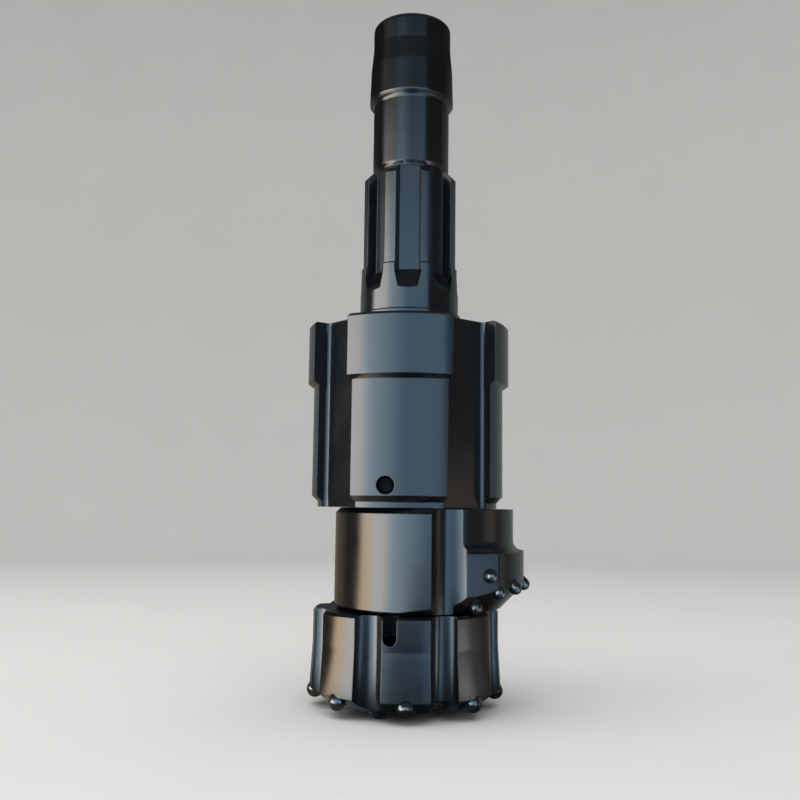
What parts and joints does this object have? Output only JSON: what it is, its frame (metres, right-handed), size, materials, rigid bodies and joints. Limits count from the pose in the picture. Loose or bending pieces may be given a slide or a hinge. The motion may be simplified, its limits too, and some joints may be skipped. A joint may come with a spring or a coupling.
{
  "type": "eccentric casing drilling bit",
  "caption": "Eccentric casing-drilling bit: fluted guide with splined hammer shank, swing-out reamer wing and ribbed button pilot, all glossy black.",
  "frame": {"origin": "centre of the strike face, on the tool axis, at the mouth of the air bore", "axes": "+Z along the tool axis, out of the shank; +X towards the reamer's wing when it is swung out"},
  "size_m": [0.2172, 0.196, 0.6735],
  "materials": {
    "black_paint": "gloss black paint",
    "carbide": "carbide buttons under the same gloss black paint",
    "pin_steel": "dark blackened steel"
  },
  "bodies": {
    "tool": {"guide_body": "black_paint", "pilot_bit": "black_paint", "lock_pin_front": "pin_steel", "lock_pin_rear": "pin_steel", "spring_pin_front": "pin_steel", "spring_pin_rear": "pin_steel", "pilot_gauge_button_1": "carbide", "pilot_gauge_button_2": "carbide", "pilot_gauge_button_3": "carbide", "pilot_gauge_button_4": "carbide", "pilot_gauge_button_5": "carbide", "pilot_gauge_button_6": "carbide", "pilot_gauge_button_7": "carbide", "pilot_gauge_button_8": "carbide", "pilot_face_button_1": "carbide", "pilot_face_button_2": "carbide", "pilot_face_button_3": "carbide", "pilot_face_button_4": "carbide", "pilot_face_button_5": "carbide", "pilot_face_button_6": "carbide", "pilot_face_button_7": "carbide", "pilot_face_button_8": "carbide"},
    "reamer": {"reamer": "black_paint", "reamer_gauge_button_1": "carbide", "reamer_gauge_button_2": "carbide", "reamer_gauge_button_3": "carbide", "reamer_gauge_button_4": "carbide", "reamer_gauge_button_5": "carbide", "reamer_inner_button_1": "carbide", "reamer_inner_button_2": "carbide", "reamer_wear_button_1": "carbide", "reamer_wear_button_2": "carbide"}
  },
  "joints": [
    {"name": "reamer_swing", "type": "hinge", "parent": "tool", "child": "reamer", "pos_m": [0.0118, 0, -0.534], "axis": [0, 0, -1], "range_deg": [0, 180]}
  ]
}
